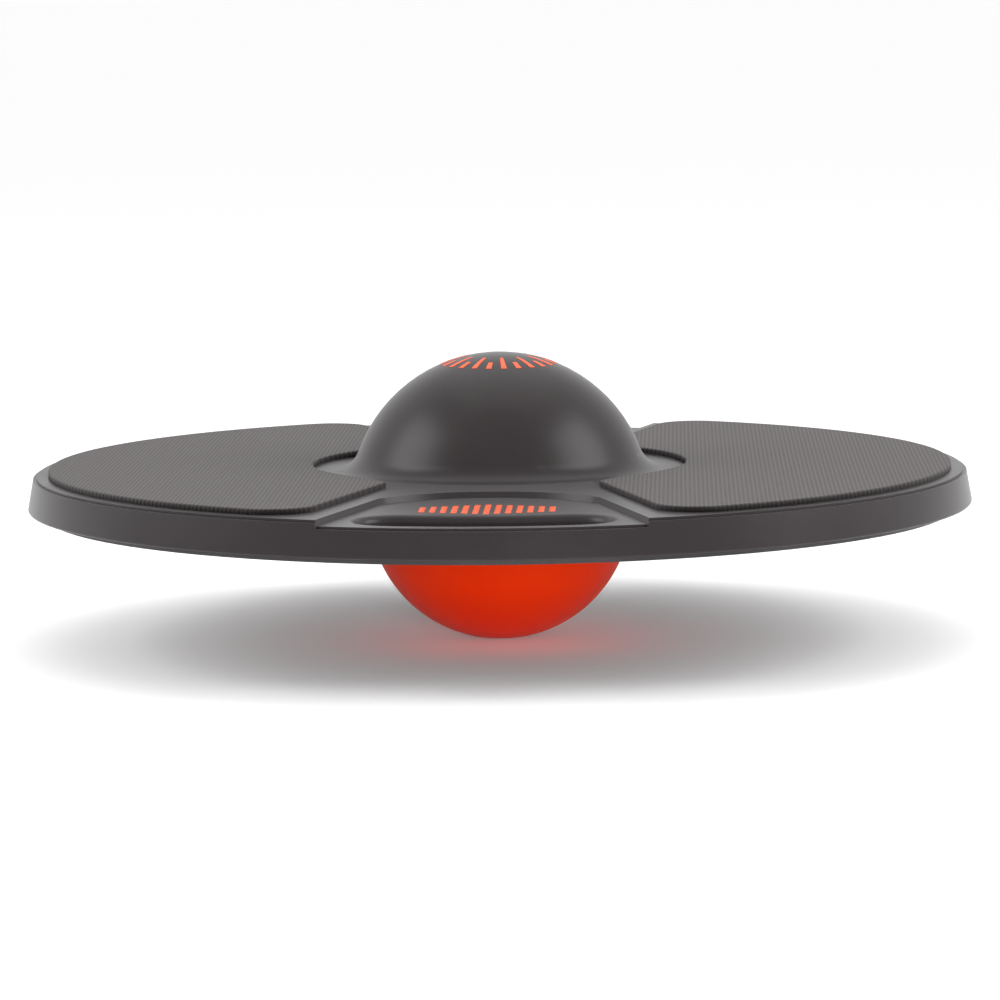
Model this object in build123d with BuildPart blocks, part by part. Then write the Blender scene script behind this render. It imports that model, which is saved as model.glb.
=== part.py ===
"""Balance dome trainer: a round two-shell deck with two foot pads, standing on a captive ball.

The origin is on the floor under the ball's centre, +Z is up, and the hand grips lie on -Y and +Y.
"""

from build123d import *
import os
from math import asin, atan2, cos, degrees, radians, sin, sqrt, tan

os.makedirs("parts", exist_ok=True)

# ---------------------------------------------------------------- driving sizes, in millimetres
BALL_RADIUS = 70.0
BALL_WALL = 3.5
BALL_FOOT_RADIUS = 14.0        # flat patch where the loaded ball meets the floor
BALL_CLEARANCE = 0.5           # all round the ball, in the seat and in the retaining ring

SEAT_WALL = 6.3                # bearing seat, at its thinnest
SEAT_FIT = 0.2                 # seat inside the dome
SEAT_RIM_RISE = 12.0           # seat's lower rim above the ball's centre

DOME_WALL = 3.0
DOME_LIFT = 2.8                # dome's centre above the ball's centre
DOME_BLEND = 14.0              # radius where the dome flows into the deck

DECK_RADIUS = 250.0            # at the skirt's lower edge
DECK_RISE = 21.4               # standing surface above the ball's centre
SKIRT_DEPTH = 18.0
SKIRT_DRAFT = 3.0              # how far the skirt leans in towards its top
SHELL_WALL = 3.0
RIM_STEP = 1.4                 # height of the small step round the deck's edge
RIM_LEDGE = 2.1                # width of the ledge outside that step
RIM_ROUND = 1.0

NOTCH_DEPTH = 3.0              # lowered bay between the pads, front and back
NOTCH_DRAFT = 24.0             # lean of the bay's wall, degrees
NOTCH_MARGIN = 13.3            # bay's side wall to the pad's edge
NOTCH_GAP = 17.0               # bay's rounded end to the pads' inner circle
NOTCH_ARCH = 27.0              # how far that end bows towards the dome
NOTCH_FLOOR_SPREAD = 3.0       # floor plate beyond the bay's outline

GRIP_WIDTH = 40.0
GRIP_SWEEP = 22.8              # of the slot's centre line, degrees
GRIP_RIM_BAND = 16.5           # slot's outer wall to the skirt's lower edge
GRIP_ROUND = 4.0
GRIP_FIT = 0.4                 # slot wall in the lower shell

PAD_THICKNESS = 3.0
PAD_GLUE = 0.2
PAD_RIM_MARGIN = 11.0          # pad's outer edge to the skirt's lower edge
PAD_DOME_GAP = 21.2            # pad's inner circle to the dome's foot
PAD_EDGE_ANGLE = 16.0          # straight edge, from the Y axis, degrees
PAD_TIP_ANGLE = 29.7           # inner tip, from the Y axis, degrees
PAD_TIP_REACH = 10.7           # inner tip beyond the inner circle
PAD_TIP_START = 42.0           # where the inner circle leaves for the tip, degrees
PAD_CORNER = 22.0
PAD_TIP_ROUND = 2.0

BASE_INSET = 9.4               # lower shell's lip inside the skirt's lower edge
BASE_LIP_DROP = 3.3            # lip below the skirt
BASE_LIP_UP = 3.0              # lip above the floor plate
BASE_COLLAR_HEIGHT = 12.0
OPENING_GAP = 10.0             # lower shell's round opening beyond the ball
RIB_DROP = 2.5
RIB_WIDTH = 2.0
RIB_COUNT = 12
RIB_INNER_GAP = 30.0           # ribs start this far beyond the ball
HOOP_SHARE = 0.55              # ring rib's place between opening and lip

RING_WALL = 4.0
RING_DROP = 18.6               # ring's lower edge under the ball's centre
RING_FLANGE = 18.0
RING_FLANGE_THICKNESS = 3.0

SCREW_RADIUS = 2.0
SCREW_HEAD_RADIUS = 3.6
SCREW_HEAD_HEIGHT = 2.4
SCREW_THREAD_FIT = 0.05
SCREW_HOLE_FIT = 0.3
SCREW_SLOT_WIDTH = 0.9
SCREW_SLOT_DEPTH = 1.0
SCREW_TIP_GAP = 1.0
BOSS_RADIUS = 5.0
RIM_SCREW_INSET = 28.0
RIM_SCREW_ANGLES = (0, 30, 60, 120, 150, 180, 210, 240, 300, 330)
HUB_SCREW_GAP = 42.0           # inner screw circle beyond the ball
HUB_SCREW_COUNT = 6
HUB_BOSS_RISE = 2.0            # lower shell's short seat round each inner screw
RING_SCREW_GAP = 20.0          # ring's screw circle beyond the ball
RING_SCREW_COUNT = 6
RING_SCREW_START = 30.0
RING_BOSS_HEIGHT = 9.0

VALVE_RADIUS = 4.0
VALVE_FIT = 0.05
VALVE_SINK = 0.4
VALVE_BULB_RADIUS = 7.0
VALVE_BULB_LENGTH = 6.0
VALVE_BULB_GAP = 0.2

# ---------------------------------------------------------------- places worked out from them
ball_z = sqrt(BALL_RADIUS**2 - BALL_FOOT_RADIUS**2)
dome_z = ball_z + DOME_LIFT
seat_inner = BALL_RADIUS + BALL_CLEARANCE
dome_inner = seat_inner + SEAT_WALL + SEAT_FIT
dome_outer = dome_inner + DOME_WALL
deck_top = ball_z + DECK_RISE
deck_under = deck_top - SHELL_WALL
skirt_bottom = deck_top - SKIRT_DEPTH
skirt_top_radius = DECK_RADIUS - SKIRT_DRAFT
step_radius = skirt_top_radius - RIM_LEDGE
ledge_z = deck_top - RIM_STEP
notch_floor = deck_top - NOTCH_DEPTH
dome_foot = sqrt(dome_outer**2 - (deck_top - dome_z) ** 2)
plate_low = skirt_bottom
plate_top = plate_low + SHELL_WALL
grip_radius = DECK_RADIUS - GRIP_RIM_BAND - GRIP_WIDTH / 2
pad_inner = dome_foot + PAD_DOME_GAP
pad_outer = DECK_RADIUS - PAD_RIM_MARGIN
pad_low = deck_top + PAD_GLUE
rim_screw_radius = DECK_RADIUS - RIM_SCREW_INSET
hub_screw_radius = BALL_RADIUS + HUB_SCREW_GAP
ring_screw_radius = BALL_RADIUS + RING_SCREW_GAP
opening_radius = BALL_RADIUS + OPENING_GAP
flange_low = plate_low - RING_FLANGE_THICKNESS
FRONT, BACK = -90.0, 90.0


def circle_height(radius, across):
    """Half height of a circle at a distance across from its centre."""
    return sqrt(radius**2 - across**2)


def sphere_point(radius, centre_z, angle):
    """A point of a sphere's outline in the XZ plane, by its angle above the horizon."""
    return (radius * cos(radians(angle)), centre_z + radius * sin(radians(angle)))


def sphere_arc(radius, centre_z, start, end):
    """An arc of a sphere's outline, between two angles above the horizon."""
    return ThreePointArc(
        sphere_point(radius, centre_z, start),
        sphere_point(radius, centre_z, (start + end) / 2),
        sphere_point(radius, centre_z, end),
    )


def rise_angle(radius, centre_z, height):
    """Angle above the horizon at which a sphere's outline reaches a height."""
    return degrees(asin((height - centre_z) / radius))


def edge_x(y_out, shift=0.0):
    """Half width between the pads' straight edges at a distance y_out from the X axis."""
    tip_radius = pad_inner + PAD_TIP_REACH
    tip_x = tip_radius * sin(radians(PAD_TIP_ANGLE))
    tip_y = tip_radius * cos(radians(PAD_TIP_ANGLE))
    slope = tan(radians(PAD_EDGE_ANGLE))
    return tip_x + slope * (y_out - tip_y) - shift / cos(radians(PAD_EDGE_ANGLE))


def edge_meets(radius):
    """Where the pads' straight edge meets a circle round the origin: its half width and distance."""
    slope = tan(radians(PAD_EDGE_ANGLE))
    start = edge_x(0.0)
    a = 1 + slope**2
    y_out = (-slope * start + sqrt((slope * start) ** 2 - a * (start**2 - radius**2))) / a
    return edge_x(y_out), y_out


def grip_arc(heading):
    """Centre line of a hand slot, round the deck's centre."""
    half = GRIP_SWEEP / 2
    return Edge.make_circle(grip_radius, start_angle=heading - half, end_angle=heading + half)


def add_notch_outline(side, spread=0.0):
    """Lines of the lowered bay on one side (-1 front, +1 back), open past the rim."""
    near = pad_inner + NOTCH_GAP - spread
    corner = near + NOTCH_ARCH
    far = DECK_RADIUS + BOSS_RADIUS
    half_near = edge_x(corner, NOTCH_MARGIN) + spread
    half_far = edge_x(far, NOTCH_MARGIN) + spread
    ThreePointArc((-half_near, side * corner), (0, side * near), (half_near, side * corner))
    Polyline(
        (half_near, side * corner),
        (half_far, side * far),
        (-half_far, side * far),
        (-half_near, side * corner),
    )


# ---------------------------------------------------------------- upper shell: deck, skirt and dome
with BuildPart() as top_shell:
    blend_reach = dome_outer + DOME_BLEND
    blend_rise = deck_top - dome_z + DOME_BLEND
    blend_radius = circle_height(blend_reach, blend_rise)
    blend_angle = degrees(atan2(blend_rise, blend_radius))
    blend_mid = radians((180 + blend_angle + 270) / 2)
    with BuildSketch(Plane.XZ) as shell_outside:
        with BuildLine():
            Polyline(
                (0, skirt_bottom),
                (DECK_RADIUS, skirt_bottom),
                (skirt_top_radius, ledge_z),
                (step_radius, ledge_z),
                (step_radius, deck_top),
                (blend_radius, deck_top),
            )
            ThreePointArc(
                (blend_radius, deck_top),
                (
                    blend_radius + DOME_BLEND * cos(blend_mid),
                    deck_top + DOME_BLEND + DOME_BLEND * sin(blend_mid),
                ),
                sphere_point(dome_outer, dome_z, blend_angle),
            )
            sphere_arc(dome_outer, dome_z, blend_angle, 90)
            Line((0, dome_z + dome_outer), (0, skirt_bottom))
        make_face()
        rim_corner = shell_outside.vertices().sort_by_distance(Vector(skirt_top_radius, 0, ledge_z))
        fillet(rim_corner[0], RIM_ROUND)
    revolve(axis=Axis.Z)

    inner_top = skirt_top_radius - SHELL_WALL
    cavity_angle = rise_angle(dome_inner, dome_z, deck_under)
    with BuildSketch(Plane.XZ):
        with BuildLine():
            Polyline(
                (0, skirt_bottom),
                (DECK_RADIUS - SHELL_WALL, skirt_bottom),
                (inner_top, deck_under),
                sphere_point(dome_inner, dome_z, cavity_angle),
            )
            sphere_arc(dome_inner, dome_z, cavity_angle, 90)
            Line((0, dome_z + dome_inner), (0, skirt_bottom))
        make_face()
    revolve(axis=Axis.Z, mode=Mode.SUBTRACT)

    for side in (-1, 1):
        with BuildSketch(Plane.XY.offset(notch_floor - SHELL_WALL)):
            with BuildLine():
                add_notch_outline(side, NOTCH_FLOOR_SPREAD)
            make_face()
            Circle(inner_top + SHELL_WALL / 2, mode=Mode.INTERSECT)
        extrude(amount=SHELL_WALL + (deck_under - notch_floor) + SHELL_WALL / 2)
        with BuildSketch(Plane.XY.offset(notch_floor)):
            with BuildLine():
                add_notch_outline(side)
            make_face()
        extrude(amount=2 * NOTCH_DEPTH, taper=-NOTCH_DRAFT, mode=Mode.SUBTRACT)
        with BuildSketch(Plane.XY.offset(notch_floor - RIM_STEP)):
            with BuildLine():
                add_notch_outline(side)
            make_face()
            Circle(step_radius, mode=Mode.SUBTRACT)
        extrude(amount=2 * NOTCH_DEPTH, mode=Mode.SUBTRACT)

    rim_bosses = [(rim_screw_radius, angle) for angle in RIM_SCREW_ANGLES]
    hub_bosses = [(hub_screw_radius, n * 360 / HUB_SCREW_COUNT) for n in range(HUB_SCREW_COUNT)]
    for base, bosses in ((plate_top, rim_bosses), (plate_top + HUB_BOSS_RISE, hub_bosses)):
        for radius, angle in bosses:
            centre = (radius * cos(radians(angle)), radius * sin(radians(angle)))
            with BuildSketch(Plane.XY.offset(base)):
                with Locations(centre):
                    Circle(BOSS_RADIUS)
                    Circle(SCREW_RADIUS + SCREW_THREAD_FIT, mode=Mode.SUBTRACT)
            extrude(amount=deck_under - base)

    for heading in (FRONT, BACK):
        with BuildSketch(Plane.XY.offset(plate_low)):
            SlotArc(grip_arc(heading), GRIP_WIDTH + 2 * SHELL_WALL)
        extrude(amount=notch_floor - plate_low)
        with BuildSketch(Plane.XY.offset(plate_low)):
            SlotArc(grip_arc(heading), GRIP_WIDTH)
        extrude(amount=SKIRT_DEPTH + NOTCH_DEPTH, mode=Mode.SUBTRACT)
    grip_radii = (grip_radius - GRIP_WIDTH / 2, grip_radius + GRIP_WIDTH / 2, GRIP_WIDTH / 2)
    floor_edges = top_shell.edges().filter_by(GeomType.CIRCLE).filter_by_position(
        Axis.Z, notch_floor - PAD_GLUE, notch_floor + PAD_GLUE
    )
    mouth = [
        edge
        for edge in floor_edges
        if min(abs(edge.radius - radius) for radius in grip_radii) < PAD_GLUE
    ]
    fillet(mouth, GRIP_ROUND)
top_shell.part.label = "top_shell"

# ---------------------------------------------------------------- lower shell: ribbed floor with the ball's opening
with BuildPart() as bottom_shell:
    base_radius = DECK_RADIUS - BASE_INSET
    lip_low = skirt_bottom - BASE_LIP_DROP
    with BuildSketch(Plane.XZ) as base_profile:
        with BuildLine():
            Polyline(
                (opening_radius, plate_low),
                (base_radius - SHELL_WALL, plate_low),
                (base_radius - SHELL_WALL, lip_low),
                (base_radius, lip_low),
                (base_radius, plate_top + BASE_LIP_UP),
                (base_radius - SHELL_WALL, plate_top + BASE_LIP_UP),
                (base_radius - SHELL_WALL, plate_top),
                (opening_radius + SHELL_WALL, plate_top),
                (opening_radius + SHELL_WALL, plate_low + BASE_COLLAR_HEIGHT),
                (opening_radius, plate_low + BASE_COLLAR_HEIGHT),
                (opening_radius, plate_low),
            )
        make_face()
    revolve(axis=Axis.Z)

    rib_inner = BALL_RADIUS + RIB_INNER_GAP
    rib_outer = base_radius - SHELL_WALL / 2
    hoop_radius = rib_inner + HOOP_SHARE * (rib_outer - rib_inner)
    with BuildSketch(Plane.XY.offset(plate_low - RIB_DROP)):
        with PolarLocations((rib_inner + rib_outer) / 2, RIB_COUNT, 180 / RIB_COUNT):
            Rectangle(rib_outer - rib_inner, RIB_WIDTH)
        Circle(hoop_radius + RIB_WIDTH / 2)
        Circle(hoop_radius - RIB_WIDTH / 2, mode=Mode.SUBTRACT)
        with PolarLocations((rib_inner + hoop_radius) / 2, RIB_COUNT, 180 / RIB_COUNT):
            Rectangle(hoop_radius - rib_inner, RIB_WIDTH)
    extrude(amount=RIB_DROP)

    with BuildSketch(Plane.XY.offset(plate_top)):
        with PolarLocations(hub_screw_radius, HUB_SCREW_COUNT):
            Circle(BOSS_RADIUS)
    extrude(amount=HUB_BOSS_RISE)
    with BuildSketch(Plane.XY.offset(plate_top)):
        with PolarLocations(ring_screw_radius, RING_SCREW_COUNT, RING_SCREW_START):
            Circle(BOSS_RADIUS)
    extrude(amount=RING_BOSS_HEIGHT)

    hole_radius = SCREW_RADIUS + SCREW_HOLE_FIT
    drill_low = plate_low - RIB_DROP
    drill_depth = SHELL_WALL + RIB_DROP + HUB_BOSS_RISE + RING_BOSS_HEIGHT
    with BuildSketch(Plane.XY.offset(drill_low)):
        for angle in RIM_SCREW_ANGLES:
            with PolarLocations(rim_screw_radius, 1, angle):
                Circle(hole_radius)
        with PolarLocations(hub_screw_radius, HUB_SCREW_COUNT):
            Circle(hole_radius)
        with PolarLocations(ring_screw_radius, RING_SCREW_COUNT, RING_SCREW_START):
            Circle(SCREW_RADIUS + SCREW_THREAD_FIT)
    extrude(amount=drill_depth, mode=Mode.SUBTRACT)

    for heading in (FRONT, BACK):
        with BuildSketch(Plane.XY.offset(drill_low)):
            SlotArc(grip_arc(heading), GRIP_WIDTH + 2 * (SHELL_WALL + GRIP_FIT))
        extrude(amount=RIB_DROP + SHELL_WALL + BASE_LIP_UP, mode=Mode.SUBTRACT)
bottom_shell.part.label = "bottom_shell"

# ---------------------------------------------------------------- bearing seat between the dome and the ball
with BuildPart() as ball_seat:
    seat_outer = dome_inner - SEAT_FIT
    seat_low = ball_z + SEAT_RIM_RISE
    seat_low_inner = rise_angle(seat_inner, ball_z, seat_low)
    seat_low_outer = rise_angle(seat_outer, dome_z, seat_low)
    with BuildSketch(Plane.XZ):
        with BuildLine():
            sphere_arc(seat_inner, ball_z, seat_low_inner, 90)
            Line((0, ball_z + seat_inner), (0, dome_z + seat_outer))
            sphere_arc(seat_outer, dome_z, 90, seat_low_outer)
            Line(
                sphere_point(seat_outer, dome_z, seat_low_outer),
                sphere_point(seat_inner, ball_z, seat_low_inner),
            )
        make_face()
    revolve(axis=Axis.Z)
ball_seat.part.label = "ball_seat"

# ---------------------------------------------------------------- ring that keeps the ball in, under the lower shell
with BuildPart() as retaining_ring:
    ring_outer = seat_inner + RING_WALL
    ring_low = ball_z - RING_DROP
    low_inner = rise_angle(seat_inner, ball_z, ring_low)
    low_outer = rise_angle(ring_outer, ball_z, ring_low)
    high_inner = rise_angle(seat_inner, ball_z, plate_low)
    high_outer = rise_angle(ring_outer, ball_z, flange_low)
    flange_radius = opening_radius + RING_FLANGE
    with BuildSketch(Plane.XZ):
        with BuildLine():
            sphere_arc(seat_inner, ball_z, high_inner, low_inner)
            Line(
                sphere_point(seat_inner, ball_z, low_inner),
                sphere_point(ring_outer, ball_z, low_outer),
            )
            sphere_arc(ring_outer, ball_z, low_outer, high_outer)
            Polyline(
                sphere_point(ring_outer, ball_z, high_outer),
                (flange_radius, flange_low),
                (flange_radius, plate_low),
                sphere_point(seat_inner, ball_z, high_inner),
            )
        make_face()
    revolve(axis=Axis.Z)
    with BuildSketch(Plane.XY.offset(flange_low)):
        with PolarLocations(ring_screw_radius, RING_SCREW_COUNT, RING_SCREW_START):
            Circle(SCREW_RADIUS + SCREW_HOLE_FIT)
    extrude(amount=RING_FLANGE_THICKNESS, mode=Mode.SUBTRACT)
retaining_ring.part.label = "retaining_ring"

# ---------------------------------------------------------------- ball, hollow, with its flat patch and valve hole
with BuildPart() as ball:
    ball_inner = BALL_RADIUS - BALL_WALL
    foot_angle = -degrees(atan2(ball_z, BALL_FOOT_RADIUS))
    with BuildSketch(Plane.XZ):
        with BuildLine():
            sphere_arc(BALL_RADIUS, ball_z, foot_angle, 90)
            Line((0, ball_z + BALL_RADIUS), (0, ball_z + ball_inner))
            sphere_arc(ball_inner, ball_z, 90, -90)
            Line((0, ball_z - ball_inner), (0, 0))
            Line((0, 0), (BALL_FOOT_RADIUS, 0))
        make_face()
    revolve(axis=Axis.Z)
    with BuildSketch(Plane.XY.offset(ball_z)):
        Circle(VALVE_RADIUS + VALVE_FIT)
    extrude(amount=2 * BALL_RADIUS, mode=Mode.SUBTRACT)
ball.part.label = "ball"

with BuildPart() as ball_valve:
    valve_top = ball_z + BALL_RADIUS - VALVE_SINK
    bulb_top = ball_z + circle_height(ball_inner, VALVE_BULB_RADIUS) - VALVE_BULB_GAP
    with BuildSketch(Plane.XZ):
        with BuildLine():
            Polyline(
                (0, bulb_top - VALVE_BULB_LENGTH),
                (VALVE_RADIUS, bulb_top - VALVE_BULB_LENGTH),
                (VALVE_BULB_RADIUS, bulb_top),
                (VALVE_RADIUS, bulb_top),
                (VALVE_RADIUS, valve_top),
                (0, valve_top),
                (0, bulb_top - VALVE_BULB_LENGTH),
            )
        make_face()
    revolve(axis=Axis.Z)
ball_valve.part.label = "ball_valve"

# ---------------------------------------------------------------- foam foot pads
pad_parts = []
for name, side in (("foot_pad_left", -1), ("foot_pad_right", 1)):
    with BuildPart() as foot_pad:
        corner_x, corner_y = edge_meets(pad_outer)
        tip_y = (pad_inner + PAD_TIP_REACH) * cos(radians(PAD_TIP_ANGLE))
        tip_x = edge_x(tip_y)
        leave_x = pad_inner * sin(radians(PAD_TIP_START))
        leave_y = pad_inner * cos(radians(PAD_TIP_START))
        with BuildSketch(Plane.XY.offset(pad_low)) as pad_outline:
            with BuildLine():
                Line((side * tip_x, -tip_y), (side * corner_x, -corner_y))
                ThreePointArc(
                    (side * corner_x, -corner_y), (side * pad_outer, 0), (side * corner_x, corner_y)
                )
                Line((side * corner_x, corner_y), (side * tip_x, tip_y))
                Line((side * tip_x, tip_y), (side * leave_x, leave_y))
                ThreePointArc(
                    (side * leave_x, leave_y), (side * pad_inner, 0), (side * leave_x, -leave_y)
                )
                Line((side * leave_x, -leave_y), (side * tip_x, -tip_y))
            make_face()
            corners = pad_outline.vertices().group_by(Axis.Y)
            fillet([corners[0][0], corners[-1][0]], PAD_CORNER)
            tips = pad_outline.vertices().sort_by(lambda v: abs(abs(v.X) - tip_x) + abs(abs(v.Y) - tip_y))
            fillet(tips[:2], PAD_TIP_ROUND)
        extrude(amount=PAD_THICKNESS)
    foot_pad.part.label = name
    pad_parts.append(foot_pad.part)


def screw_group(places, seat_z, tip_z, name):
    """Pan head screws pointing up: a slotted head under seat_z and a shank up to tip_z."""
    with BuildPart() as screws:
        with BuildSketch(Plane.XY.offset(seat_z - SCREW_HEAD_HEIGHT)):
            with Locations(*places):
                Circle(SCREW_HEAD_RADIUS)
        extrude(amount=SCREW_HEAD_HEIGHT)
        with BuildSketch(Plane.XY.offset(seat_z)):
            with Locations(*places):
                Circle(SCREW_RADIUS)
        extrude(amount=tip_z - seat_z)
        with BuildSketch(Plane.XY.offset(seat_z - SCREW_HEAD_HEIGHT)):
            with Locations(*places):
                Rectangle(2 * SCREW_HEAD_RADIUS, SCREW_SLOT_WIDTH)
        extrude(amount=SCREW_SLOT_DEPTH, mode=Mode.SUBTRACT)
    screws.part.label = name
    return screws.part


def polar_places(radius, angles):
    """Points on a circle round the origin, by their angles in degrees."""
    return [(radius * cos(radians(a)), radius * sin(radians(a))) for a in angles]


# ---------------------------------------------------------------- screws
hub_angles = [n * 360 / HUB_SCREW_COUNT for n in range(HUB_SCREW_COUNT)]
ring_angles = [RING_SCREW_START + n * 360 / RING_SCREW_COUNT for n in range(RING_SCREW_COUNT)]
screw_tip = deck_under - SCREW_TIP_GAP
rim_screws = screw_group(polar_places(rim_screw_radius, RIM_SCREW_ANGLES), plate_low, screw_tip, "rim_screws")
hub_screws = screw_group(polar_places(hub_screw_radius, hub_angles), plate_low, screw_tip, "hub_screws")
ring_tip = plate_top + RING_BOSS_HEIGHT - SCREW_TIP_GAP
ring_screws = screw_group(polar_places(ring_screw_radius, ring_angles), flange_low, ring_tip, "ring_screws")

pieces = [
    top_shell.part,
    bottom_shell.part,
    ball_seat.part,
    retaining_ring.part,
    ball.part,
    ball_valve.part,
    *pad_parts,
    rim_screws,
    hub_screws,
    ring_screws,
]
for piece in pieces:
    export_step(piece, f"parts/{piece.label}.step")
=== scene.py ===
"""Looks of the balance dome trainer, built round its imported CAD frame. Metres, +Z up, front at -Y."""

import math

import bmesh
import bpy
import numpy as np
from mathutils import Matrix, Vector


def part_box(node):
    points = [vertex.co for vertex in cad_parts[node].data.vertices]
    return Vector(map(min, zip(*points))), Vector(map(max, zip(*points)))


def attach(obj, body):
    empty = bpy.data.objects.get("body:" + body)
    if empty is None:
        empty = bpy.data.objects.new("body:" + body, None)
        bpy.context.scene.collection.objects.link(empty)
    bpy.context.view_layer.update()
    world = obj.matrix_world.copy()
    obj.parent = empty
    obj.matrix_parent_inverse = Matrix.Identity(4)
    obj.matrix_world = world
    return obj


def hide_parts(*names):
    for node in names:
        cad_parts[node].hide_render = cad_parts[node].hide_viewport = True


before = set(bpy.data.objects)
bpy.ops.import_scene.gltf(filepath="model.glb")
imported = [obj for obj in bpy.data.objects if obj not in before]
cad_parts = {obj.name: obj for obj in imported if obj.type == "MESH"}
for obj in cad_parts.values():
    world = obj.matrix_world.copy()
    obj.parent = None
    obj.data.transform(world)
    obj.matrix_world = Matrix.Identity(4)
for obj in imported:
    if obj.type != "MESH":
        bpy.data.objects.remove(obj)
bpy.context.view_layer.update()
MM = 0.001
TAU = 2 * math.pi

# ---------------------------------------------------------------- places read from the frame
shell_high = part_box("top_shell")[1]
pad_low, pad_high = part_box("foot_pad_right")
BALL_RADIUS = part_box("ball")[1].x
DECK_RADIUS = shell_high.x
PAD_GLUE = 0.2 * MM
BAY_DEPTH = 3 * MM
DOME_RADIUS = 80 * MM
DOME_CENTRE = shell_high.z - DOME_RADIUS
BAY_FLOOR = pad_low.z - PAD_GLUE - BAY_DEPTH


# ---------------------------------------------------------------- meshes from arrays
def add_mesh(name, points, faces):
    """A mesh object from an array of points and a list of faces, at the origin, smooth shaded."""
    mesh = bpy.data.meshes.new(name)
    mesh.from_pydata(points.tolist(), [], faces.tolist())
    mesh.update()
    mesh.shade_smooth()
    piece = bpy.data.objects.new(name, mesh)
    bpy.context.scene.collection.objects.link(piece)
    return piece


def grid_faces(rows, columns, start=0, wrap=False):
    """Quads of a grid of points, row after row; wrap joins the last column to the first."""
    across = columns if wrap else columns - 1
    i, j = np.meshgrid(np.arange(rows - 1), np.arange(across), indexing="ij")
    k = (j + 1) % columns
    quads = np.stack([i * columns + j, i * columns + k, (i + 1) * columns + k, (i + 1) * columns + j], -1)
    return quads.reshape(-1, 4) + start


def turn_outward(piece):
    """Merges doubled points and makes every face of a closed mesh point outwards."""
    work = bmesh.new()
    work.from_mesh(piece.data)
    bmesh.ops.remove_doubles(work, verts=work.verts, dist=0.01 * MM)
    bmesh.ops.recalc_face_normals(work, faces=work.faces)
    work.to_mesh(piece.data)
    work.free()
    piece.data.shade_smooth()


# ---------------------------------------------------------------- node helpers
def new_group(name, inputs, outputs):
    """A shader node group with float, vector or colour sockets; returns it with its two end nodes."""
    group = bpy.data.node_groups.new(name, "ShaderNodeTree")
    for label, kind, value in inputs:
        socket = group.interface.new_socket(label, in_out="INPUT", socket_type=kind)
        if value is not None:
            socket.default_value = value
    for label, kind in outputs:
        group.interface.new_socket(label, in_out="OUTPUT", socket_type=kind)
    return group, group.nodes.new("NodeGroupInput"), group.nodes.new("NodeGroupOutput")


def math_node(tree, operation, first, second=None):
    """A math node whose two inputs are sockets or numbers; returns its output socket."""
    node = tree.nodes.new("ShaderNodeMath")
    node.operation = operation
    for index, value in enumerate((first, second)):
        if value is None:
            continue
        if isinstance(value, (int, float)):
            node.inputs[index].default_value = value
        else:
            tree.links.new(value, node.inputs[index])
    return node.outputs[0]


def noise_node(tree, vector, scale, detail):
    """Fractal noise over a vector; scale is a socket or a number. Returns the value socket, 0 to 1."""
    node = tree.nodes.new("ShaderNodeTexNoise")
    node.inputs["Detail"].default_value = detail
    tree.links.new(vector, node.inputs["Vector"])
    if isinstance(scale, (int, float)):
        node.inputs["Scale"].default_value = scale
    else:
        tree.links.new(scale, node.inputs["Scale"])
    return node.outputs["Fac"]


def make_mould_grain():
    """Spark-eroded mould texture: fine pits over soft, wide waves, and a mottle for tone and gloss."""
    inputs = [
        ("Vector", "NodeSocketVector", None),
        ("Grain Scale", "NodeSocketFloat", 1600.0),
        ("Mottle Scale", "NodeSocketFloat", 22.0),
    ]
    group, start, end = new_group(
        "mould_grain", inputs, [("Height", "NodeSocketFloat"), ("Mottle", "NodeSocketFloat")]
    )
    pits = noise_node(group, start.outputs["Vector"], start.outputs["Grain Scale"], 2.0)
    mottle = noise_node(group, start.outputs["Vector"], start.outputs["Mottle Scale"], 4.0)
    group.links.new(pits, end.inputs["Height"])
    group.links.new(mottle, end.inputs["Mottle"])
    return group


def make_pressed_grain():
    """Embossed foam: rows of little blocks, sine of x times sine of y, roughened by fine noise."""
    inputs = [("Vector", "NodeSocketVector", None), ("Pitch", "NodeSocketFloat", 2.2 * MM)]
    group, start, end = new_group(
        "pressed_grain", inputs, [("Height", "NodeSocketFloat"), ("Valley", "NodeSocketFloat")]
    )
    parts = group.nodes.new("ShaderNodeSeparateXYZ")
    group.links.new(start.outputs["Vector"], parts.inputs[0])
    waves = []
    for axis in ("X", "Y"):
        turns = math_node(group, "DIVIDE", parts.outputs[axis], start.outputs["Pitch"])
        waves.append(math_node(group, "SINE", math_node(group, "MULTIPLY", turns, TAU)))
    along = math_node(group, "MULTIPLY", waves[0], 0.7)
    across = math_node(group, "MULTIPLY", waves[1], 0.3)
    ribs = math_node(group, "ADD", along, across)
    speck = noise_node(group, start.outputs["Vector"], 900.0, 3.0)
    height = math_node(group, "ADD", ribs, speck)
    group.links.new(height, end.inputs["Height"])
    valley = math_node(group, "MULTIPLY_ADD", ribs, 0.5)
    valley.node.inputs[2].default_value = 0.5
    group.links.new(valley, end.inputs["Valley"])
    return group


def make_dust():
    """Faint dust and rub marks: broad noise trimmed to patches and broken up by fine noise."""
    group, start, end = new_group(
        "dust",
        [("Vector", "NodeSocketVector", None), ("Amount", "NodeSocketFloat", 0.1)],
        [("Mask", "NodeSocketFloat")],
    )
    patches = noise_node(group, start.outputs["Vector"], 14.0, 5.0)
    specks = noise_node(group, start.outputs["Vector"], 700.0, 2.0)
    ramp = group.nodes.new("ShaderNodeMapRange")
    ramp.inputs["From Min"].default_value = 0.42
    ramp.inputs["From Max"].default_value = 0.75
    group.links.new(patches, ramp.inputs["Value"])
    broken = math_node(group, "MULTIPLY", ramp.outputs[0], specks)
    group.links.new(math_node(group, "MULTIPLY", broken, start.outputs["Amount"]), end.inputs["Mask"])
    return group


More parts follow.
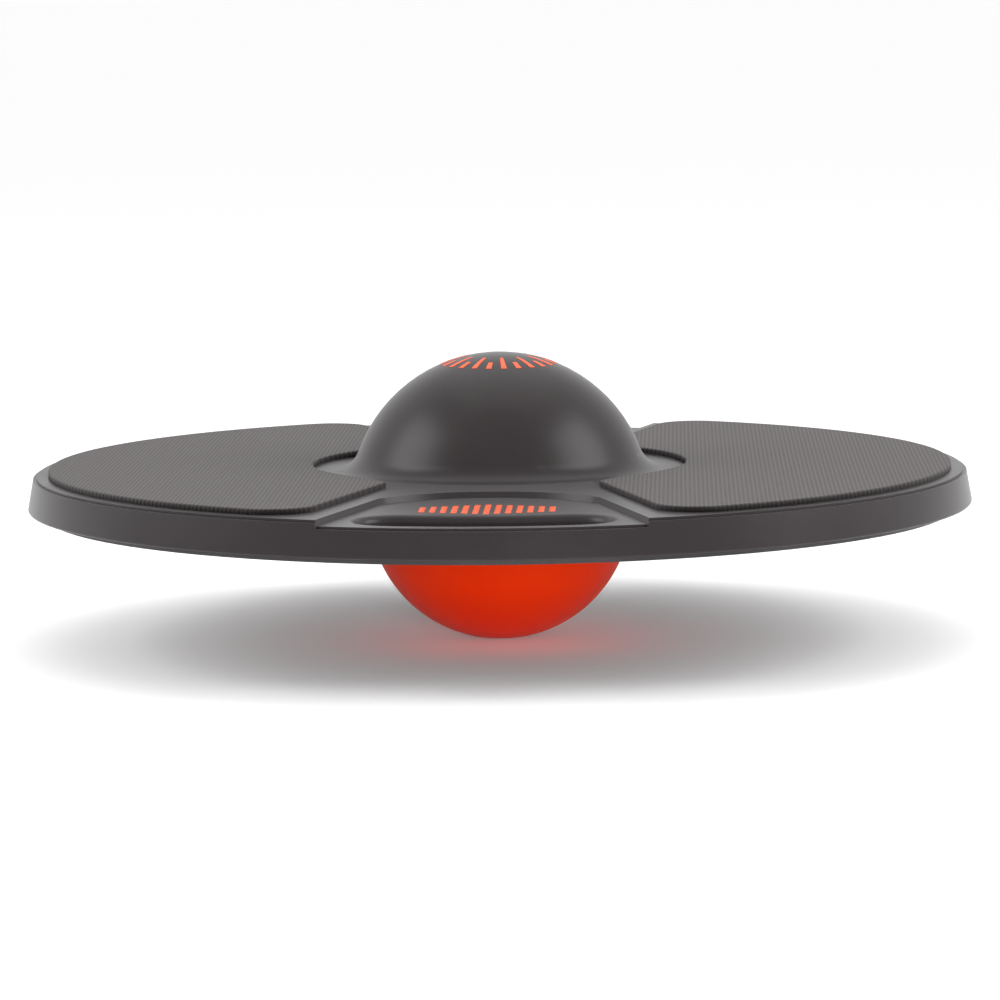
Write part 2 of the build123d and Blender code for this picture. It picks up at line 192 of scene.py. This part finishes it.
MOULD_GRAIN = make_mould_grain()
PRESSED_GRAIN = make_pressed_grain()
DUST = make_dust()


def start_material(name, **sockets):
    """A new node material with its Principled shader and Object coordinates; sockets sets constants."""
    material = bpy.data.materials.new(name)
    material.use_nodes = True
    tree = material.node_tree
    shader = next(n for n in tree.nodes if n.type == "BSDF_PRINCIPLED")
    for label, value in sockets.items():
        shader.inputs[label.replace("_", " ")].default_value = value
    coordinates = tree.nodes.new("ShaderNodeTexCoord").outputs["Object"]
    return material, tree, shader, coordinates


def place_group(tree, group, coordinates, **values):
    """A node group in a material, fed with coordinates and given its own values."""
    node = tree.nodes.new("ShaderNodeGroup")
    node.node_tree = group
    tree.links.new(coordinates, node.inputs["Vector"])
    for label, value in values.items():
        node.inputs[label.replace("_", " ")].default_value = value
    return node


def blend_colours(tree, factor, first, second):
    """A colour that goes from first to second with a factor socket."""
    node = tree.nodes.new("ShaderNodeMix")
    node.data_type = "RGBA"
    tree.links.new(factor, node.inputs["Factor"])
    node.inputs["A"].default_value = (*first, 1)
    node.inputs["B"].default_value = (*second, 1)
    return node.outputs["Result"]


def spread(tree, value, low, high):
    """Maps a 0 to 1 socket to a range from low to high."""
    node = tree.nodes.new("ShaderNodeMapRange")
    node.inputs["To Min"].default_value = low
    node.inputs["To Max"].default_value = high
    tree.links.new(value, node.inputs["Value"])
    return node.outputs[0]


def add_bump(tree, shader, height, strength, distance):
    """Feeds a height socket to the shader's normal through a Bump node."""
    bump = tree.nodes.new("ShaderNodeBump")
    bump.inputs["Strength"].default_value = strength
    bump.inputs["Distance"].default_value = distance
    tree.links.new(height, bump.inputs["Height"])
    tree.links.new(bump.outputs[0], shader.inputs["Normal"])


def moulded(name, dark, light, rough, grain, depth, dust=0.0, **sockets):
    """Moulded plastic or rubber: mottled colour and gloss over a fine grain, with faint dust."""
    material, tree, shader, coordinates = start_material(name, **sockets)
    texture = place_group(tree, MOULD_GRAIN, coordinates, Grain_Scale=grain)
    colour = blend_colours(tree, texture.outputs["Mottle"], dark, light)
    if dust:
        dirt = place_group(tree, DUST, coordinates, Amount=dust)
        over = tree.nodes.new("ShaderNodeMix")
        over.data_type = "RGBA"
        tree.links.new(dirt.outputs["Mask"], over.inputs["Factor"])
        tree.links.new(colour, over.inputs["A"])
        over.inputs["B"].default_value = (0.42, 0.40, 0.39, 1)
        colour = over.outputs["Result"]
    tree.links.new(colour, shader.inputs["Base Color"])
    tree.links.new(spread(tree, texture.outputs["Mottle"], *rough), shader.inputs["Roughness"])
    add_bump(tree, shader, texture.outputs["Height"], depth, 0.1 * MM)
    return material


def make_pad_foam():
    """Foam pressed with a small square grain; painted shade darkens its valleys, and painted shade makes it
    near black from just under the top surface down its walls.
    """
    material, tree, shader, coordinates = start_material(
        "pad_foam",
        Specular_IOR_Level=0.30,
        Sheen_Weight=0.10,
        Sheen_Roughness=0.55,
        Sheen_Tint=(0.9, 0.84, 0.84, 1),
    )
    grain = place_group(tree, PRESSED_GRAIN, coordinates)
    # Painted shade: the grain's valleys take the darker foam colour and its crests the lighter one.
    colour = blend_colours(tree, grain.outputs["Valley"], (0.016, 0.0125, 0.0125), (0.040, 0.033, 0.033))
    height = tree.nodes.new("ShaderNodeSeparateXYZ")
    tree.links.new(coordinates, height.inputs[0])
    # Painted shade: from 0.75 mm under the top surface downwards, the rolled edge and the walls are coloured
    # near black.
    top = tree.nodes.new("ShaderNodeMapRange")
    top.inputs["From Min"].default_value = pad_high.z - 0.75 * MM
    top.inputs["From Max"].default_value = pad_high.z - 0.30 * MM
    tree.links.new(height.outputs["Z"], top.inputs["Value"])
    painted_side_shade = tree.nodes.new("ShaderNodeMix")
    painted_side_shade.data_type = "RGBA"
    tree.links.new(top.outputs[0], painted_side_shade.inputs["Factor"])
    painted_side_shade.inputs["A"].default_value = (0.009, 0.0065, 0.0065, 1)
    tree.links.new(colour, painted_side_shade.inputs["B"])
    tree.links.new(painted_side_shade.outputs["Result"], shader.inputs["Base Color"])
    tree.links.new(spread(tree, grain.outputs["Valley"], 0.72, 0.56), shader.inputs["Roughness"])
    add_bump(tree, shader, grain.outputs["Height"], 0.55, 0.25 * MM)
    return material


def make_screw_steel():
    """Zinc-plated steel, its tone and gloss mottled over a fine grain."""
    material, tree, shader, coordinates = start_material("screw_steel", Metallic=1.0)
    texture = place_group(tree, MOULD_GRAIN, coordinates, Grain_Scale=2600.0, Mottle_Scale=90.0)
    colour = blend_colours(tree, texture.outputs["Mottle"], (0.42, 0.42, 0.44), (0.66, 0.66, 0.67))
    tree.links.new(colour, shader.inputs["Base Color"])
    tree.links.new(spread(tree, texture.outputs["Mottle"], 0.22, 0.42), shader.inputs["Roughness"])
    add_bump(tree, shader, texture.outputs["Height"], 0.3, 0.05 * MM)
    return material


deck_plastic = moulded(
    "deck_plastic", (0.0135, 0.0098, 0.0105), (0.0180, 0.0132, 0.0142), (0.31, 0.38), 1500.0, 0.22, dust=0.03,
    Specular_IOR_Level=0.30, Sheen_Weight=0.10, Sheen_Roughness=0.30,
)
base_plastic = moulded(
    "base_plastic", (0.020, 0.018, 0.019), (0.030, 0.026, 0.027), (0.45, 0.56), 1100.0, 0.4, dust=0.12
)
seat_plastic = moulded("seat_plastic", (0.62, 0.61, 0.57), (0.72, 0.71, 0.67), (0.30, 0.38), 2200.0, 0.1)
ball_rubber = moulded(
    "ball_rubber", (0.87, 0.024, 0.0005), (0.94, 0.044, 0.001), (0.38, 0.46), 1900.0, 0.12,
    Specular_IOR_Level=0.18,
)
valve_rubber = moulded("valve_rubber", (0.50, 0.02, 0.001), (0.60, 0.03, 0.002), (0.5, 0.6), 1900.0, 0.2)
print_ink = moulded("print_ink", (0.80, 0.085, 0.018), (0.90, 0.115, 0.028), (0.40, 0.52), 3000.0, 0.1)
pad_foam = make_pad_foam()
screw_steel = make_screw_steel()


def wear(piece, material):
    """Gives a piece or a CAD node one material in place of what it has."""
    piece.data.materials.clear()
    piece.data.materials.append(material)


for screws in ("rim_screws", "hub_screws", "ring_screws"):
    wear(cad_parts[screws], screw_steel)

# ---------------------------------------------------------------- smooth skins of the moulded parts
def smooth_copy(node_name, piece_name, body, finish, crease=35):
    """A copy of a CAD node's mesh at the origin: doubled points merged, edges sharp past the crease."""
    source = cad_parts[node_name]
    mesh = source.data.copy()
    mesh.transform(source.matrix_world)
    work = bmesh.new()
    work.from_mesh(mesh)
    bmesh.ops.remove_doubles(work, verts=work.verts, dist=0.003 * MM)
    work.to_mesh(mesh)
    work.free()
    if "custom_normal" in mesh.attributes:
        mesh.attributes.remove(mesh.attributes["custom_normal"])
    mesh.shade_smooth()
    mesh.set_sharp_from_angle(angle=math.radians(crease))
    piece = bpy.data.objects.new(piece_name, mesh)
    bpy.context.scene.collection.objects.link(piece)
    wear(piece, finish)
    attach(piece, body)
    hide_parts(node_name)


def revolve(name, profile, turns):
    """A surface of revolution: each profile point (radius, height) is carried round the Z axis."""
    angle = np.arange(turns) / turns * TAU
    across = profile[:, 0][:, None]
    points = np.stack([
        across * np.cos(angle),
        across * np.sin(angle),
        np.repeat(profile[:, 1][:, None], turns, 1),
    ], -1)
    piece = add_mesh(name, points.reshape(-1, 3), grid_faces(len(profile), turns, wrap=True))
    turn_outward(piece)
    return piece


def build_ball():
    """Hollow rubber ball: a sphere pressed flat at its foot, with a plain round valve hole at its top.

    The profile runs up the outer skin, down the hole and back along the inner skin. Between the
    flat foot and the sphere it follows a short quadratic curve, so the rubber rolls on to the floor.
    """
    radius = BALL_RADIUS
    wall, hole, foot = 3.5 * MM, 4.05 * MM, 12.5 * MM
    patch, roll_reach, inner_foot = 14 * MM, 17.5 * MM, 21 * MM
    centre = math.sqrt(radius**2 - patch**2)
    roll_end = math.asin(roll_reach / radius)
    skin = np.linspace(roll_end, math.pi - math.asin(hole / radius), 150)
    outer = np.stack([radius * np.sin(skin), centre - radius * np.cos(skin)], -1)
    t = np.linspace(0, 1, 14)[:-1, None]
    knee = np.array([14.6 * MM, 0.0])
    roll = (1 - t) ** 2 * np.array([foot, 0.0]) + 2 * t * (1 - t) * knee + t**2 * outer[0]
    inside = radius - wall
    floor_angle = math.asin(inner_foot / inside)
    under = np.linspace(math.pi - math.asin(hole / inside), floor_angle, 60)
    inner = np.stack([inside * np.sin(under), centre - inside * np.cos(under)], -1)
    start = [[0.0, 0.0], [foot / 2, 0.0]]
    profile = np.concatenate([start, roll, outer, inner, [[0.0, inner[-1, 1]]]])
    ball = revolve("ball_skin", profile, 256)
    ball.data.set_sharp_from_angle(angle=math.radians(40))
    wear(ball, ball_rubber)
    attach(ball, "ball")
    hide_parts("ball")


smooth_copy("top_shell", "top_shell_skin", "deck", deck_plastic)
smooth_copy("bottom_shell", "bottom_shell_skin", "deck", base_plastic)
smooth_copy("retaining_ring", "retaining_ring_skin", "deck", base_plastic)
smooth_copy("ball_seat", "ball_seat_skin", "deck", seat_plastic)
smooth_copy("ball_valve", "ball_valve_skin", "ball", valve_rubber)
build_ball()

# ---------------------------------------------------------------- foam foot pads
PAD_OUTER = DECK_RADIUS - 11 * MM
PAD_INNER = 99.0 * MM
PAD_EDGE_SLOPE = math.tan(math.radians(16.0))
PAD_TIP = (PAD_INNER + 10.7 * MM, math.radians(29.7))
PAD_TIP_START = math.radians(42.0)
PAD_CORNER = 22 * MM
PAD_EDGE_ROUND = 0.9 * MM
PAD_HEIGHT = pad_high.z - pad_low.z
RIM_SAMPLES = 260
BODY_SAMPLES = 56


def even_steps(points, count):
    """Points at even distances along a polyline given as an array."""
    steps = np.linalg.norm(np.diff(points, axis=0), axis=1)
    along = np.concatenate([[0], np.cumsum(steps)])
    wanted = np.linspace(0, along[-1], count)
    return np.stack([np.interp(wanted, along, points[:, k]) for k in range(points.shape[1])], -1)


def arc_points(centre, radius, start, end, count):
    """Points of an arc in the plane: centre plus radius times (cos, sin) of evenly spread angles."""
    angle = np.linspace(start, end, count)
    return np.stack([centre[0] + radius * np.cos(angle), centre[1] + radius * np.sin(angle)], -1)


def pad_halves():
    """The right pad's inner and outer paths, front to back, meeting at the middle of each round corner.

    The straight edge is a line of fixed slope through the tip. The corner circle touches that line
    and the outer circle from inside; its centre lies a corner radius from both.
    """
    tip = np.array([PAD_TIP[0] * math.sin(PAD_TIP[1]), -PAD_TIP[0] * math.cos(PAD_TIP[1])])
    run = np.array([PAD_EDGE_SLOPE, -1.0]) / math.hypot(PAD_EDGE_SLOPE, 1.0)
    inward = np.array([-run[1], run[0]])
    foot = tip + inward * PAD_CORNER
    reach = PAD_OUTER - PAD_CORNER
    along = -(foot @ run) + math.sqrt((foot @ run) ** 2 - foot @ foot + reach**2)
    centre = foot + run * along
    touch_edge = centre - inward * PAD_CORNER
    edge_angle = math.atan2(*(touch_edge - centre)[::-1])
    rim_angle = math.atan2(centre[1], centre[0])
    middle = (edge_angle % TAU + rim_angle % TAU) / 2
    leave = np.array([PAD_INNER * math.sin(PAD_TIP_START), -PAD_INNER * math.cos(PAD_TIP_START)])
    leave_angle = math.atan2(leave[1], leave[0])
    inner_front = np.concatenate([
        arc_points(centre, PAD_CORNER, middle, edge_angle % TAU, 12),
        touch_edge + (tip - touch_edge) * np.linspace(0, 1, 40)[1:, None],
        tip + (leave - tip) * np.linspace(0, 1, 8)[1:, None],
        arc_points((0, 0), PAD_INNER, leave_angle, 0, 40)[1:],
    ])
    outer_front = np.concatenate([
        arc_points(centre, PAD_CORNER, middle, rim_angle % TAU, 12),
        arc_points((0, 0), PAD_OUTER, rim_angle, 0, 80)[1:],
    ])
    flip = np.array([1.0, -1.0])
    inner = np.concatenate([inner_front, (inner_front * flip)[-2::-1]])
    outer = np.concatenate([outer_front, (outer_front * flip)[-2::-1]])
    return even_steps(inner, RIM_SAMPLES), even_steps(outer, RIM_SAMPLES)


def inward_normals(loop):
    """Unit normals of a closed loop that runs anticlockwise, pointing inwards."""
    tangent = np.roll(loop, -1, axis=0) - np.roll(loop, 1, axis=0)
    tangent /= np.linalg.norm(tangent, axis=1)[:, None]
    return np.stack([-tangent[:, 1], tangent[:, 0]], -1)


def build_pad(name, side):
    """A closed foam slab: loops carried round the outline, and a top and a bottom skin.

    Loop k is the outline moved inwards by an inset and set at a height, which gives the flat
    wall and the rolled upper edge. The skins go in straight lines from the inner path to the outer
    one, and the top one is raised a little by slow sine waves, as foam glued by hand is.
    """
    inner, outer = pad_halves()
    loop = np.concatenate([outer, inner[-2:0:-1]])
    normal = inward_normals(loop)
    roll = np.linspace(0, math.pi / 2, 6)
    insets = np.concatenate([[0.6 * MM, 0.0], PAD_EDGE_ROUND * (1 - np.cos(roll))])
    heights = np.concatenate([[0.0, 0.25 * MM], PAD_HEIGHT - PAD_EDGE_ROUND * (1 - np.sin(roll))])
    rings = loop[None] + insets[:, None, None] * normal[None]
    rings = np.concatenate([rings, np.repeat(heights[:, None, None], len(loop), 1)], -1)
    count = len(loop)
    points = [rings.reshape(-1, 3)]
    faces = [grid_faces(len(insets), count, wrap=True)]
    share = np.linspace(0, 1, BODY_SAMPLES)[:, None, None]
    back = (count - np.arange(1, RIM_SAMPLES - 1)) % count
    inner_index = np.concatenate([[0], back, [RIM_SAMPLES - 1]])
    start = len(insets) * count
    for ring in (0, len(insets) - 1):
        edge = rings[ring]
        skin = edge[inner_index][None] * (1 - share) + edge[:RIM_SAMPLES][None] * share
        if ring:
            swell = np.sin(share[..., 0] * math.pi) * np.sin(np.linspace(0, math.pi, RIM_SAMPLES))[None]
            slow = np.sin(skin[..., 0] * 34) * np.cos(skin[..., 1] * 27)
            skin[..., 2] += 0.12 * MM * swell * slow
        points.append(skin.reshape(-1, 3))
        faces.append(grid_faces(BODY_SAMPLES, RIM_SAMPLES, start))
        start += BODY_SAMPLES * RIM_SAMPLES
    points = np.concatenate(points)
    points[:, 0] *= side
    points[:, 2] += pad_low.z
    piece = add_mesh(name, points, np.concatenate(faces))
    turn_outward(piece)
    wear(piece, pad_foam)
    return piece


for pad_name, pad_node, pad_side in (
    ("pad_foam_left", "foot_pad_left", -1),
    ("pad_foam_right", "foot_pad_right", 1),
):
    pad = build_pad(pad_name, pad_side)
    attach(pad, "deck")
    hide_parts(pad_node)

# ---------------------------------------------------------------- printed marks
INK_LIFT = 0.03 * MM
INK_THICKNESS = 0.08 * MM


def build_marks(name, place, lows, highs, steps):
    """Thin closed ink patches: each maps a rectangle of two parameters onto a surface.

    place(u, v, lift) gives the points of the surface raised by lift. lows and highs hold the
    corners of each patch. The skin at the top and the one under it share a seam wall.
    """
    points, faces = [], []
    start = 0
    rows, columns = steps
    rim = np.concatenate([
        np.arange(columns),
        np.arange(1, rows) * columns + columns - 1,
        (rows - 1) * columns + np.arange(columns - 2, -1, -1),
        np.arange(rows - 2, 0, -1) * columns,
    ])
    for low, high in zip(lows, highs):
        steps_u = np.linspace(low[0], high[0], rows)
        steps_v = np.linspace(low[1], high[1], columns)
        u, v = np.meshgrid(steps_u, steps_v, indexing="ij")
        for lift in (INK_LIFT, INK_LIFT + INK_THICKNESS):
            points.append(place(u, v, lift).reshape(-1, 3))
        size = rows * columns
        wall = np.stack([rim, np.roll(rim, -1), np.roll(rim, -1) + size, rim + size], -1) + start
        faces += [grid_faces(rows, columns, start), grid_faces(rows, columns, start + size), wall]
        start += 2 * size
    piece = add_mesh(name, np.concatenate(points), np.concatenate(faces))
    turn_outward(piece)
    wear(piece, print_ink)
    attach(piece, "deck")
    return piece


def on_dome(turn, reach, lift):
    """Dome surface by turn about its axis and reach from that axis."""
    angle = np.arcsin(reach / DOME_RADIUS)
    radius = DOME_RADIUS + lift
    across = radius * np.sin(angle)
    return np.stack([across * np.cos(turn), across * np.sin(turn), DOME_CENTRE + radius * np.cos(angle)], -1)


def on_bay(across, along, lift):
    """Flat floor of the front bay."""
    return np.stack([across, along, np.full_like(across, BAY_FLOOR) + lift], -1)


CROWN_TICKS = 24
CROWN_OUTER = 31 * MM
crown_turns = np.arange(CROWN_TICKS) * TAU / CROWN_TICKS + TAU / CROWN_TICKS / 2
crown_inner = np.where(np.arange(CROWN_TICKS) % 2 == 0, 17 * MM, 24 * MM)
crown_half = 1.5 * MM / CROWN_OUTER
build_marks(
    "crown_print",
    on_dome,
    np.stack([crown_turns - crown_half, crown_inner], -1),
    np.stack([crown_turns + crown_half, np.full(CROWN_TICKS, CROWN_OUTER)], -1),
    (4, 10),
)

SCALE_BARS = 13
SCALE_PITCH = 5.4 * MM
SCALE_WIDTH = 3.0 * MM
SCALE_MIDDLE = -167 * MM
bar_number = np.arange(SCALE_BARS) - SCALE_BARS // 2
bar_half = (20 - 1.6 * np.abs(bar_number)) * MM
bar_across = bar_number * SCALE_PITCH
build_marks(
    "bay_scale_print",
    on_bay,
    np.stack([bar_across - SCALE_WIDTH / 2, SCALE_MIDDLE - bar_half], -1),
    np.stack([bar_across + SCALE_WIDTH / 2, SCALE_MIDDLE + bar_half], -1),
    (3, 8),
)

# ---------------------------------------------------------------- floor, light and camera
FLOOR_HALF = 40.0
FLOOR_GLOW = 0.10
FLOOR_DROP = 0.05 * MM


def direct_ray(tree):
    """1 for rays from the camera or off and through glossy and clear surfaces, 0 for diffuse light."""
    path = tree.nodes.new("ShaderNodeLightPath")
    mirrored = math_node(tree, "MAXIMUM", path.outputs["Is Camera Ray"], path.outputs["Is Glossy Ray"])
    return math_node(tree, "MAXIMUM", mirrored, path.outputs["Is Transmission Ray"])


def make_floor():
    """Pale matte floor that keeps the shadow, reads as white elsewhere and is clear from below."""
    corners = np.array([[-1, -1, 0], [1, -1, 0], [1, 1, 0], [-1, 1, 0]], float)
    piece = add_mesh(
        "floor",
        corners * FLOOR_HALF - [0, 0, FLOOR_DROP],
        np.array([[0, 1, 2, 3]]),
    )
    material, tree, shader, coordinates = start_material("floor_white", Roughness=0.9)
    shader.inputs["Base Color"].default_value = (0.92, 0.92, 0.925, 1)
    shader.inputs["Specular IOR Level"].default_value = 0.15
    shader.inputs["Emission Color"].default_value = (1, 1, 1, 1)
    glow = math_node(tree, "MULTIPLY", direct_ray(tree), FLOOR_GLOW)
    tree.links.new(glow, shader.inputs["Emission Strength"])
    facing_away = tree.nodes.new("ShaderNodeNewGeometry").outputs["Backfacing"]
    tree.links.new(math_node(tree, "SUBTRACT", 1.0, facing_away), shader.inputs["Alpha"])
    wear(piece, material)


def make_world():
    """White where seen or mirrored, and for the light a soft gradient, brighter behind and above."""
    world = bpy.data.worlds.new("studio")
    bpy.context.scene.world = world
    world.use_nodes = True
    tree = world.node_tree
    background = tree.nodes["Background"]
    direction = tree.nodes.new("ShaderNodeTexCoord").outputs["Generated"]
    parts = tree.nodes.new("ShaderNodeSeparateXYZ")
    tree.links.new(direction, parts.inputs[0])
    behind = tree.nodes.new("ShaderNodeMapRange")
    behind.interpolation_type = "SMOOTHSTEP"
    behind.inputs["From Min"].default_value = -0.9
    behind.inputs["From Max"].default_value = 0.35
    behind.inputs["To Min"].default_value = 0.14
    behind.inputs["To Max"].default_value = 0.75
    tree.links.new(parts.outputs["Y"], behind.inputs["Value"])
    above = tree.nodes.new("ShaderNodeMapRange")
    above.inputs["From Min"].default_value = 0.0
    above.inputs["From Max"].default_value = 0.9
    above.inputs["To Min"].default_value = 0.0
    above.inputs["To Max"].default_value = 0.55
    tree.links.new(parts.outputs["Z"], above.inputs["Value"])
    soft = math_node(tree, "ADD", behind.outputs[0], above.outputs[0])
    strength = tree.nodes.new("ShaderNodeMix")
    tree.links.new(direct_ray(tree), strength.inputs["Factor"])
    tree.links.new(soft, strength.inputs["A"])
    strength.inputs["B"].default_value = 1.0
    tree.links.new(strength.outputs[0], background.inputs["Strength"])
    background.inputs["Color"].default_value = (1, 1, 1, 1)


def add_softbox(name, place, aim, size, power, mirrored=True):
    """A square area lamp turned to aim at a point; mirrored says if glossy surfaces show it."""
    lamp = bpy.data.lights.new(name, "AREA")
    lamp.shape = "SQUARE"
    lamp.size = size
    lamp.energy = power
    holder = bpy.data.objects.new(name, lamp)
    bpy.context.scene.collection.objects.link(holder)
    holder.location = place
    holder.rotation_euler = (Vector(aim) - Vector(place)).to_track_quat("-Z", "Y").to_euler()
    holder.visible_glossy = mirrored


def add_camera():
    """A long lens, nearly level, a little to the right of the front, rolled by half a degree."""
    target_height, distance = 60 * MM, 2.5
    elevation, azimuth, roll = math.radians(6.881), math.radians(2.2), math.radians(-0.635)
    aim_rise = 12.36 * MM
    back = Vector((
        math.sin(azimuth) * math.cos(elevation),
        -math.cos(azimuth) * math.cos(elevation),
        math.sin(elevation),
    ))
    data = bpy.data.cameras.new("camera")
    data.sensor_width = 36.0
    data.lens = 169.1
    data.clip_end = 200.0
    camera = bpy.data.objects.new("camera", data)
    bpy.context.scene.collection.objects.link(camera)
    camera.location = Vector((0, 0, target_height)) + back * distance
    aim = Vector((0, 0, target_height + aim_rise))
    turn = (aim - camera.location).to_track_quat("-Z", "Y").to_matrix()
    camera.rotation_euler = (turn @ Matrix.Rotation(roll, 3, "Z")).to_euler()
    bpy.context.scene.camera = camera


make_floor()
make_world()
add_softbox("softbox_top", (0.0, 0.5, 1.9), (0, 0, 0.1), 1.6, 5.0)
add_softbox("softbox_left", (-1.5, -0.2, 1.0), (0, 0, 0.05), 1.1, 14.0)
add_softbox("softbox_right", (1.5, -0.2, 1.0), (0, 0, 0.05), 1.1, 16.0)
add_softbox("fill_front", (0.5, -3.0, 0.3), (0, 0, 0.05), 0.6, 46.0, mirrored=False)
add_camera()
bpy.context.scene.view_settings.view_transform = "Standard"
